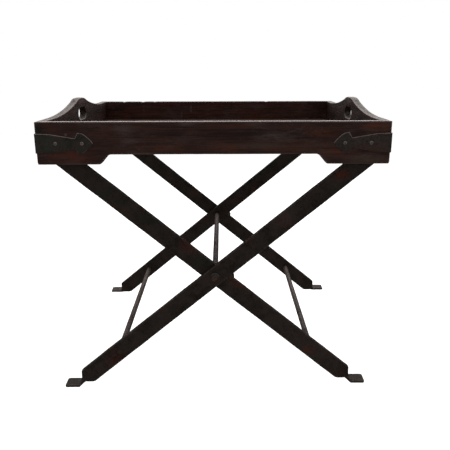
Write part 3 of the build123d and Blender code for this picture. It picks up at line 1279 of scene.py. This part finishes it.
@dataclass(frozen=True)
class Bars:
    """The stand's four bars, forged flat, each drawn out into a foot pad."""

    thickness: float = 8.0
    slope: float = 0.83611
    half_level: float = 29.62
    pivot_height: float = 246.0
    seat: float = 512.3
    head_reach: float = 313.0
    heel_lift: float = 1.0
    corner_height: float = 28.0
    spacing: float = 208.0
    gap: float = 0.3
    neck_root: float = -283.05
    neck_length: float = 8.0
    neck_height: float = 13.0
    pad_length: float = 31.0
    pad_width: float = 26.0
    pad_thickness: float = 6.0
    pad_outset: float = 8.0
    peg: Flat = (33.75, 243.85)
    ear_radius: float = 6.5
    hole_radius: float = 4.08
    allowance: float = 0.5
    heel_ease: float = 4.7
    corner_ease: float = 1.9
    edge_ease: float = 0.7
    tip_ease: float = 4.0
    pad_ease: float = 0.8
    grid: float = 1.25
    hammering: tuple[Unevenness, ...] = (
        Unevenness(55.0, 1.3, way=Way.X, level=0.5),
        Unevenness(19.0, 0.6, way=Way.Z, level=0.5),
        Unevenness(15.0, 0.3, Pattern.DENTS),
        Unevenness(5.0, 0.14),
    )
    # Skin facing down keeps little of its wear, as painted shade on the bars' lower edges
    wear: Wear = Wear(8, 0.85, 0.3)

    def upper_x(self, z: float) -> float:
        """Where the upper edge of a bar that rises to the right stands at a height."""
        return (z - self.pivot_height) / self.slope - self.half_level - self.allowance

    def lower_x(self, z: float) -> float:
        """Where its lower edge stands at that height."""
        return (z - self.pivot_height) / self.slope + self.half_level + self.allowance

    def low_side(self, feet: Side, depth: Depth) -> float:
        """The lower y of a bar: left-footed bars are in front of the right-footed ones."""
        front_one = depth.value * self.spacing - self.gap / 2 - self.thickness
        return front_one if feet is Side.LEFT else front_one + self.gap + self.thickness

    def blade(self, low: float) -> Workpiece:
        """The long part of a left-footed bar.

        Args:
            low: The lower y of the bar.

        Returns:
            The blade, with its edges eased.
        """
        end_x = self.upper_x(self.corner_height)
        heel_x = self.lower_x(self.heel_lift)
        under_z = self.pivot_height + (self.head_reach - self.half_level) * self.slope
        line = [
            (self.upper_x(self.seat), self.seat),
            (self.head_reach, self.seat),
            (self.head_reach, under_z),
            (heel_x, self.heel_lift),
            (end_x, self.heel_lift),
            (end_x, self.corner_height),
        ]
        blade = cut_out("bar_blade", [(x, low, z) for x, z in line], (0, self.thickness, 0))
        middle = self.corner_height / 2
        blade.ease(
            lambda at, way: runs(way.y) and meets(at.x, heel_x, 1) and at.z < middle, self.heel_ease, 5
        )
        blade.ease(
            lambda at, way: runs(way.y) and meets(at.x, end_x, 1) and at.z > middle, self.corner_ease
        )
        blade.ease(lambda at, way: crosses(way.y), self.edge_ease, 2)
        return blade

    def pad(self, low: float, outward: int) -> Workpiece:
        """The neck and the flat pad of a left-footed bar.

        Args:
            low: The lower y of the bar.
            outward: The side that the pad is set to, -1 or 1 along Y.

        Returns:
            The neck and the pad in one.
        """
        middle, x = low + self.thickness / 2, self.neck_root
        front, rear = middle - self.thickness / 2, middle + self.thickness / 2
        under, top = self.heel_lift, self.heel_lift + self.neck_height
        pad = trace("foot_pad", [(x, front, under), (x, rear, under), (x, rear, top), (x, front, top)])
        pad.fill()
        drop = self.pad_thickness / 2 - (self.heel_lift + self.neck_height / 2)
        pad.draw_out((-self.neck_length, outward * self.pad_outset, drop))
        spread = (1, self.pad_width / self.thickness, self.pad_thickness / self.neck_height)
        centre = (x - self.neck_length, middle + outward * self.pad_outset, self.pad_thickness / 2)
        bpy.ops.transform.resize(value=spread, center_override=metres(centre))
        pad.draw_out((-self.pad_length, 0, 0))
        pad.face_out()
        tip = x - self.neck_length - self.pad_length
        pad.ease(lambda at, way: runs(way.z) and meets(at.x, tip), self.tip_ease)
        root = x - self.neck_length + 0.5
        pad.ease(lambda at, way: at.x < root and abs(way.z) < 0.5, self.pad_ease, 2)
        return pad

    def ear(self, low: float) -> Workpiece:
        """The ear that carries a stop peg, on the upper edge of a right-footed bar.

        Args:
            low: The lower y of the bar.

        Returns:
            The ear.
        """
        high, radius = low + self.thickness, self.ear_radius
        ear = lathe("bar_ear", self.peg, [(0, low), (radius, low), (radius, high), (0, high)], 32)
        middle = Vector(self.peg)
        ear.ease(lambda at, way: crosses(way.y) and (at.xz - middle).length > radius - 1, self.pad_ease, 2)
        return ear

    def pivot_cutter(self) -> Workpiece:
        """A pin along Y that cuts the hole for the pivot.

        Returns:
            The pin.
        """
        far, radius = self.spacing + 3 * self.thickness, self.hole_radius
        line = [(0, -far), (radius, -far), (radius, far), (0, far)]
        return lathe("round_cutter", (0, self.pivot_height), line, 40)

    def bars(self, finish: Finish) -> None:
        """Makes the left-footed bars, and mirrors them for the right-footed ones.

        Args:
            finish: What they are dressed in.
        """
        for feet in Side:
            for depth in Depth:
                low = self.low_side(feet, depth)
                bar = self.blade(low)
                bar.take_in([self.pad(low, depth.value)])
                if feet is Side.RIGHT:
                    mirrored = bar.twin("bar_blade_right", (-1, 1, 1))
                    bpy.data.objects.remove(bar.body)
                    bar = mirrored
                    bar.take_in([self.ear(low)])
                node = f"{feet.word}_foot_{depth.word}_bar"
                bar.rename(f"{node}_dressed")
                bar.even_out(self.grid)
                bar.roughen(self.hammering)
                bar.cut_with(self.pivot_cutter())
                bar.mark_wear(self.wear)
                bar.finish(f"{feet.word}_foot_frame", finish, [node])


@dataclass(frozen=True)
class Rods:
    """The pivot rod with its heads and washers, and the two stretchers riveted between the bars."""

    pivot_height: float = 246.0
    pivot_radius: float = 6.25
    shoulder: float = 199.7
    tenon_radius: float = 4.0
    head_base: float = 217.9
    head_radius: float = 6.5
    head_height: float = 4.0
    washer_radius: float = 9.5
    washer_thickness: float = 1.6
    washer_hole: float = 4.08
    stretcher_at: Flat = (-204.9, 74.7)
    stretcher_radius: float = 6.25
    stretcher_tenon: float = 3.6
    stretcher_length: float = 408.0
    stretcher_fronts: tuple[tuple[Side, float], ...] = ((Side.LEFT, -208.15), (Side.RIGHT, -199.85))
    rivet_radius: float = 5.6
    rivet_height: float = 1.8
    bar_thickness: float = 8.0
    allowance: float = 0.4
    head_edge: Flat = (0.4, 0.15)
    head_angles: tuple[float, ...] = (90, 74, 58, 42, 26, 10)
    washer_eases: Flat = (0.4, 0.3)
    ring_run: float = 5.0
    dents: tuple[Unevenness, ...] = (Unevenness(30.0, 0.5), Unevenness(6.0, 0.35))
    wear: Wear = Wear(4, 0.5)
    washer_dents: tuple[Unevenness, ...] = (Unevenness(5.0, 0.25),)
    washer_wear: Wear = Wear(3, 0.3)

    def head(self, base: float, radius: float, height: float, way: int) -> list[Flat]:
        """A domed head's profile from its top to its rim, as radius and y.

        Args:
            base: The y of its flat side.
            radius: Its radius.
            height: How high it stands.
            way: Which way it faces, -1 or 1 along Y.

        Returns:
            The profile's points.
        """
        angles = [math.radians(angle) for angle in self.head_angles]
        dome = [(radius * math.cos(a), base + way * height * math.sin(a)) for a in angles]
        dome[0] = (0.0, base + way * height)
        inset, rise = self.head_edge
        return dome + [(radius, base + way * rise), (radius - inset, base)]

    def shaft(self, name: str, at: Flat, line: Sequence[Flat]) -> Workpiece:
        """Turns a rod from its profile of radius and y, with rings every few millimetres.

        Args:
            name: The rod's name.
            at: The x and z of its axis.
            line: The profile.

        Returns:
            The rod.
        """
        points = [line[0]]
        for radius, y in line[1:]:
            old_radius, old_y = points[-1]
            rings = max(1, round(abs(y - old_y) / self.ring_run))
            for step in range(1, rings + 1):
                share = step / rings
                points.append((old_radius + (radius - old_radius) * share, old_y + (y - old_y) * share))
        return lathe(name, at, points, 40)

    def pivot_rod(self, finish: Finish) -> None:
        """Makes the pivot rod.

        Args:
            finish: What it is dressed in.
        """
        front = self.head(-self.head_base, self.head_radius, self.head_height, -1)
        rear = [(radius, -y) for radius, y in reversed(front)]
        neck = [
            (self.tenon_radius, -self.head_base),
            (self.tenon_radius, -self.shoulder),
            (self.pivot_radius + self.allowance, -self.shoulder),
            (self.pivot_radius + self.allowance, self.shoulder),
            (self.tenon_radius, self.shoulder),
            (self.tenon_radius, self.head_base),
        ]
        rod = self.shaft("pivot_rod_dressed", (0, self.pivot_height), front + neck + rear)
        rod.age(self.dents, self.wear)
        rod.finish("pivot", finish, ["pivot_rod"])

    def washers(self, finish: Finish) -> None:
        """Makes the washer under each head of the pivot rod.

        Args:
            finish: What they are dressed in.
        """
        low = -self.head_base
        high = low + self.washer_thickness
        inner, outer = self.washer_hole, self.washer_radius
        front, rear = self.washer_eases
        line = [
            (inner, high),
            (inner, low),
            (outer - front, low),
            (outer, low + front),
            (outer, high - rear),
            (outer - rear, high),
        ]
        washer = lathe("washer", (0, self.pivot_height), line, 44, ring=True)
        for depth in Depth:
            name = f"{depth.word}_pivot_washer"
            piece = washer.twin(f"{name}_dressed", (1, -depth.value, 1))
            piece.age(self.washer_dents, self.washer_wear)
            piece.finish("pivot", finish, [name])
        bpy.data.objects.remove(washer.body)

    def stretchers(self, finish: Finish) -> None:
        """Makes the left stretcher and, from the other bars' places, the right one.

        Args:
            finish: What they are dressed in.
        """
        x, z = self.stretcher_at
        for side, front in self.stretcher_fronts:
            rear = front + self.stretcher_length
            outer_front, outer_rear = front - self.bar_thickness, rear + self.bar_thickness
            line = self.head(outer_front, self.rivet_radius, self.rivet_height, -1)
            line += [
                (self.stretcher_tenon, outer_front),
                (self.stretcher_tenon, front),
                (self.stretcher_radius + self.allowance, front),
                (self.stretcher_radius + self.allowance, rear),
                (self.stretcher_tenon, rear),
                (self.stretcher_tenon, outer_rear),
            ]
            line += reversed(self.head(outer_rear, self.rivet_radius, self.rivet_height, 1))
            name = f"{side.word}_stretcher"
            rod = self.shaft(f"{name}_dressed", (-side.value * x, z), line)
            rod.age(self.dents, self.wear)
            rod.finish(f"{side.word}_foot_frame", finish, [name])


@dataclass(frozen=True)
class StopPegs:
    """The two pegs that hold the stand open."""

    at: Flat = (33.75, 243.85)
    radius: float = 4.0
    tail_radius: float = 2.6
    tail_head: Flat = (4.2, 1.6)
    nose: tuple[Flat, ...] = ((1.2, 0.1), (0.3, 0.6), (0.0, 1.5))
    dome: tuple[Flat, ...] = ((1.0, 0.0), (0.8, 0.6), (0.4, 0.92), (0.0, 1.0))
    bar_thickness: float = 8.0
    bar_gap: float = 0.3
    seats: tuple[tuple[Depth, float], ...] = ((Depth.FRONT, -207.85), (Depth.REAR, 208.15))
    dents: tuple[Unevenness, ...] = (Unevenness(4.0, 0.3),)
    wear: Wear = Wear(3, 0.4)

    def pegs(self, finish: Finish) -> None:
        """Turns the two pegs.

        Args:
            finish: What they are dressed in.
        """
        head_radius, head_height = self.tail_head
        for depth, seat in self.seats:
            tip = seat - self.bar_gap - self.bar_thickness
            back = seat + self.bar_thickness
            line = [(0.0, tip)]
            line += [(self.radius - inset, tip + rise) for inset, rise in self.nose]
            line += [(self.radius, seat - 2.0), (self.radius, seat)]
            line += [(self.tail_radius, seat), (self.tail_radius, back)]
            line += [(head_radius * share, back + head_height * rise) for share, rise in self.dome]
            name = f"{depth.word}_stop_peg"
            peg = lathe(f"{name}_dressed", self.at, line, 32)
            peg.age(self.dents, self.wear)
            peg.finish("right_foot_frame", finish, [name])


@dataclass(frozen=True)
class Panel:
    """A soft light, in metres: its middle, its width and height, how bright it is and what it faces."""

    name: str
    place: Point
    size: Flat
    glow: float
    towards: Point = (0, 0, 0.5)

    def hang(self) -> None:
        """Hangs the light."""
        data = bpy.data.lights.new(self.name, "AREA")
        data.shape = "RECTANGLE"
        data.size, data.size_y = self.size
        data.energy = self.glow * math.pi * data.size * data.size_y
        light = bpy.data.objects.new(self.name, data)
        light.location = self.place
        facing = Vector(self.towards) - Vector(self.place)
        light.rotation_euler = facing.to_track_quat("-Z", "Y").to_euler()
        light.visible_camera = False
        bpy.context.scene.collection.objects.link(light)


@dataclass(frozen=True)
class Studio:
    """The pale floor, the soft lights and the camera.

    The floor lies where the lowest foot reaches when the stand is folded about its pivot.
    """

    eye: Point = (15.7, -1110.8, 671.5)
    pitch: float = 12.79
    yaw: float = 0.346
    roll: float = -0.136
    lens: float = 37.52
    film: float = 36.0
    drop: float = -0.1185
    floor_size: float = 9.0
    floor_height: float = -0.158
    floor_tone: float = 0.8
    floor_glow: float = 0.9
    backdrop: float = 1.0
    sky: float = 0.16
    panels: tuple[Panel, ...] = (
        Panel("back light", (0, 2.3, 1.6), (3.0, 2.0), 1.2),
        Panel("top light", (0, 0.85, 2.3), (2.6, 1.9), 1.8),
    )

    def camera(self) -> None:
        """Sets the camera where the photograph was taken from."""
        data = bpy.data.cameras.new("camera")
        data.lens, data.sensor_width, data.shift_y = self.lens, self.film, self.drop
        camera = bpy.data.objects.new("camera", data)
        turn = Matrix.Rotation(math.radians(-self.yaw), 4, "Z")
        tilt = Matrix.Rotation(math.radians(90 - self.pitch), 4, "X")
        lean = Matrix.Rotation(math.radians(self.roll), 4, "Z")
        camera.matrix_world = Matrix.Translation(metres(self.eye)) @ turn @ tilt @ lean
        bpy.context.scene.collection.objects.link(camera)
        bpy.context.scene.camera = camera

    def floor(self) -> None:
        """Lays the pale floor."""
        clear_bench()
        bpy.ops.mesh.primitive_plane_add(size=self.floor_size, location=(0, 0, self.floor_height))
        floor = bpy.context.object
        floor.name = "studio_floor"
        bpy.ops.object.transform_apply(location=True, rotation=True, scale=True)
        mix = Recipe("pale floor")
        mix.shade({
            "Base Color": (self.floor_tone, self.floor_tone, self.floor_tone, 1),
            "Roughness": 0.9,
            "Specular IOR Level": 0.1,
            "Emission Color": (1, 1, 1, 1),
            "Emission Strength": self.floor_glow,
        })
        floor.data.materials.append(mix.result)
        floor.visible_diffuse = floor.visible_glossy = False

    def lights(self) -> None:
        """Lights the tray from above and behind, as the photograph is."""
        for panel in self.panels:
            panel.hang()
        world = bpy.data.worlds.new("studio")
        bpy.context.scene.world = world
        world.use_nodes = True
        nodes, links = world.node_tree.nodes, world.node_tree.links
        nodes.clear()
        seen, lit = nodes.new("ShaderNodeBackground"), nodes.new("ShaderNodeBackground")
        for light, strength in ((seen, self.backdrop), (lit, self.sky)):
            light.inputs["Strength"].default_value = strength
            light.inputs["Color"].default_value = (1, 1, 1, 1)
        path, choose = nodes.new("ShaderNodeLightPath"), nodes.new("ShaderNodeMixShader")
        out = nodes.new("ShaderNodeOutputWorld")
        links.new(path.outputs["Is Camera Ray"], choose.inputs[0])
        links.new(lit.outputs[0], choose.inputs[1])
        links.new(seen.outputs[0], choose.inputs[2])
        links.new(choose.outputs[0], out.inputs["Surface"])
        bpy.context.scene.view_settings.view_transform = "Standard"


# Colours of the patches that show on the front of the tray and on the stand
ORANGE_RED: Colour = (0.240, 0.062, 0.026)
DEEP_RED: Colour = (0.200, 0.048, 0.024)
CHALKY: Colour = (0.230, 0.165, 0.148)
OCHRE: Colour = (0.160, 0.108, 0.075)
SOOTY: Colour = (0.026, 0.023, 0.018)
BARE_WOOD: Colour = (0.260, 0.180, 0.160)
WORN_AND_LIT_WOOD: Colour = (0.230, 0.180, 0.165)
BROWN_SCALE: Colour = (0.115, 0.078, 0.064)
PINK_SCALE: Colour = (0.140, 0.086, 0.076)
RIVET_DARK: Colour = (0.070, 0.052, 0.046)
RIVET_DARKER: Colour = (0.060, 0.046, 0.040)
ROD_BROWN: Colour = (0.120, 0.074, 0.064)
STRAP_PINK: Colour = (0.135, 0.092, 0.084)
STRAP_RUST: Colour = (0.150, 0.074, 0.052)


def both_ends(mark: Mark) -> tuple[Mark, Mark]:
    """A patch, and the same patch at the tray's other end."""
    x, y, z = mark.middle
    return mark, replace(mark, middle=(-x, y, z))


# The patches on the front board's face and on the back board's inner face
LONG_BOARD_MARKS: tuple[Mark, ...] = (
    Mark((-270, -250, 505), (64, 12, 19), DEEP_RED, 0.6),
    Mark((-92, -250, 520), (28, 12, 12), DEEP_RED, 0.5),
    Mark((25, -250, 518), (42, 12, 13), ORANGE_RED, 0.42),
    Mark((300, -250, 562), (34, 12, 14), ORANGE_RED, 0.7),
    Mark((203, -250, 549), (48, 12, 13), ORANGE_RED, 0.45),
    Mark((232, -250, 514), (46, 12, 10), ORANGE_RED, 0.5),
    Mark((108, -250, 541), (44, 12, 13), CHALKY, 0.42),
    Mark((90, -250, 524), (44, 12, 11), OCHRE, 0.42),
    Mark((-166, -250, 556), (34, 12, 11), CHALKY, 0.4),
    Mark((-50, -250, 567), (26, 12, 6), CHALKY, 0.4),
    Mark((-157, -250, 534), (22, 12, 7), CHALKY, 0.34),
    Mark((78, -250, 566), (22, 12, 6), CHALKY, 0.34),
    Mark((-273, -250, 547), (3.2, 6, 3.2), BARE_WOOD, 0.9),
    Mark((-322, -250, 556), (24, 12, 20), SOOTY, 0.9),
    Mark((290, -250, 500), (48, 12, 14), OCHRE, 0.5),
    Mark((-258, 237, 530), (15, 10, 10), DEEP_RED, 0.9),
    Mark((-100, 237, 534), (3, 10, 11), CHALKY, 0.9),
    Mark((-73, 237, 549), (3, 10, 15), CHALKY, 1.0),
    Mark((-208, 237, 550), (3, 10, 13), OCHRE, 0.8),
    Mark((113, 237, 556), (26, 10, 13), CHALKY, 0.4),
    Mark((311, 237, 529), (11, 10, 9), OCHRE, 0.8),
)

# The pale insides of the hand holes, hand wear with painted light on their lower insides, and the hands'
# wear above them, with a painted highlight on the humps' crowns
END_BOARD_MARKS: tuple[Mark, ...] = (
    *both_ends(Mark((-322, 26, 553), (12, 26, 12), WORN_AND_LIT_WOOD, 0.9)),
    *both_ends(Mark((-314, 4, 592), (8, 44, 12), CHALKY, 0.5)),
)

# The patches on the stand's bars
BAR_MARKS: tuple[Mark, ...] = (
    Mark((190, -208, 90), (190, 14, 150), BROWN_SCALE, 0.4),
    Mark((60, -208, 232), (36, 7, 22), ORANGE_RED, 0.55),
    Mark((-48, -208, 312), (34, 7, 24), DEEP_RED, 0.4),
    Mark((201, -208, 71), (18, 7, 13), ORANGE_RED, 0.7),
    Mark((-215, -216, 50), (26, 8, 20), DEEP_RED, 0.4),
    Mark((250, -216, 462), (22, 8, 15), DEEP_RED, 0.7),
    Mark((140, -216, 375), (40, 8, 25), PINK_SCALE, 0.5),
)

# The pinkish and the rusty patch on the front right strap
STRAP_MARKS: tuple[Mark, ...] = (
    Mark((300, -252, 532), (110, 16, 44), STRAP_PINK, 0.7),
    Mark((290, -252, 516), (60, 16, 14), STRAP_RUST, 0.7),
)

# The dark rivet heads at the ends of the rods, kept dark against the rods' painted light, and the left
# stretcher's browner skin
ROD_MARKS: tuple[Mark, ...] = (
    Mark((0, -221, 246), (14, 16, 14), RIVET_DARK, 1.0),
    Mark((0, 221, 246), (14, 16, 14), RIVET_DARK, 1.0),
    Mark((-204.9, -217, 74.7), (12, 9, 12), RIVET_DARKER, 1.0),
    Mark((204.9, -209, 74.7), (12, 9, 12), RIVET_DARKER, 1.0),
    Mark((-204.9, 0, 74.7), (40, 320, 40), ROD_BROWN, 0.4),
)


@dataclass(frozen=True)
class Finishes:
    """Every finish on the object."""

    long_wood: OldWood = OldWood("long board wood", "board_wood", marks=LONG_BOARD_MARKS)
    # The board wood painted darker all over, as painted shade on the end boards, and with a much paler edge
    # colour, as a painted highlight on the humps
    end_wood: OldWood = OldWood(
        "end board wood",
        "board_wood",
        grain=Grain.ACROSS,
        dark=(0.016, 0.0085, 0.007),
        warm=(0.036, 0.0175, 0.0138),
        pale=(0.068, 0.036, 0.029),
        red=(0.080, 0.026, 0.016),
        rubbed=(0.440, 0.380, 0.355),
        blush=0.35,
        scuffs=0.25,
        dull=0.62,
        shine=0.12,
        wax=0.0,
        marks=END_BOARD_MARKS,
    )
    floor_wood: OldWood = OldWood(
        "floor wood",
        "floor_wood",
        dark=(0.040, 0.020, 0.014),
        warm=(0.090, 0.046, 0.030),
        pale=(0.140, 0.082, 0.056),
        scuffs=0.5,
        rubbing_and_light=0.3,
    )
    dowel_wood: OldWood = OldWood(
        "dowel wood",
        "dowel_wood",
        dark=(0.16, 0.09, 0.045),
        warm=(0.24, 0.15, 0.08),
        pale=(0.33, 0.22, 0.12),
    )
    # The straps' very pale worn colour is a painted highlight on their upper edges
    strap_iron: OldIron = OldIron(
        "strap iron",
        "strap_iron",
        dark=(0.044, 0.043, 0.037),
        scale=(0.098, 0.093, 0.080),
        tint=(0.082, 0.090, 0.068),
        brown=(0.115, 0.086, 0.074),
        rubbed_and_highlight=(0.740, 0.610, 0.560),
        rusting=0.3,
        rubbing_and_light=1.0,
        metal=0.3,
        dents=7.0,
        marks=STRAP_MARKS,
    )
    # The nails' very pale worn colour is a painted highlight on their domes
    nail_iron: OldIron = OldIron(
        "nail iron",
        "nail_iron",
        dark=(0.070, 0.062, 0.056),
        scale=(0.150, 0.134, 0.122),
        tint=(0.120, 0.112, 0.094),
        brown=(0.160, 0.120, 0.106),
        rubbed_and_highlight=(0.760, 0.660, 0.620),
        rusting=0.2,
        rubbing_and_light=0.9,
        metal=0.4,
        dull=0.45,
        dents=3.0,
    )
    bar_iron: OldIron = OldIron("bar iron", "bar_iron", marks=BAR_MARKS)
    # The rods' iron is painted paler than the rest of the stand's iron, as painted light on round rods lit
    # from above
    rod_iron: OldIron = OldIron(
        "rod iron",
        "rod_iron",
        dark=(0.090, 0.068, 0.062),
        scale=(0.190, 0.150, 0.138),
        tint=(0.130, 0.108, 0.096),
        brown=(0.160, 0.108, 0.096),
        rubbed_and_highlight=(0.380, 0.330, 0.305),
        rusting=0.35,
        shine=0.22,
        marks=ROD_MARKS,
    )
    rivet_iron: OldIron = OldIron(
        "rivet iron",
        "rod_iron",
        dark=(0.040, 0.031, 0.028),
        scale=(0.098, 0.075, 0.066),
        tint=(0.070, 0.060, 0.048),
        brown=(0.115, 0.080, 0.068),
        rusting=0.9,
    )


def dress_dowels(finish: Finish) -> None:
    """Gives the hidden dowels their finish.

    Args:
        finish: What they are dressed in.
    """
    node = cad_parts["corner_dowels"]
    for place in node.material_slots:
        place.material = finish.material()
    log.info("corner_dowels: dressed")


def main() -> None:
    """Builds the tray and the stand in order, then the studio."""
    logging.basicConfig(level=logging.INFO, format="%(name)s %(message)s")
    finishes = Finishes()
    boards = Boards()
    boards.long_board(finishes.long_wood)
    boards.end_boards(finishes.end_wood)
    TrayFloor().planks(finishes.floor_wood)
    straps = CornerStraps()
    straps.straps(finishes.strap_iron)
    straps.nails(finishes.nail_iron)
    dress_dowels(finishes.dowel_wood)
    Bars().bars(finishes.bar_iron)
    rods = Rods()
    rods.pivot_rod(finishes.rod_iron)
    rods.washers(finishes.rivet_iron)
    rods.stretchers(finishes.rod_iron)
    StopPegs().pegs(finishes.rivet_iron)
    studio = Studio()
    studio.floor()
    studio.lights()
    studio.camera()


if __name__ == "__main__":
    main()
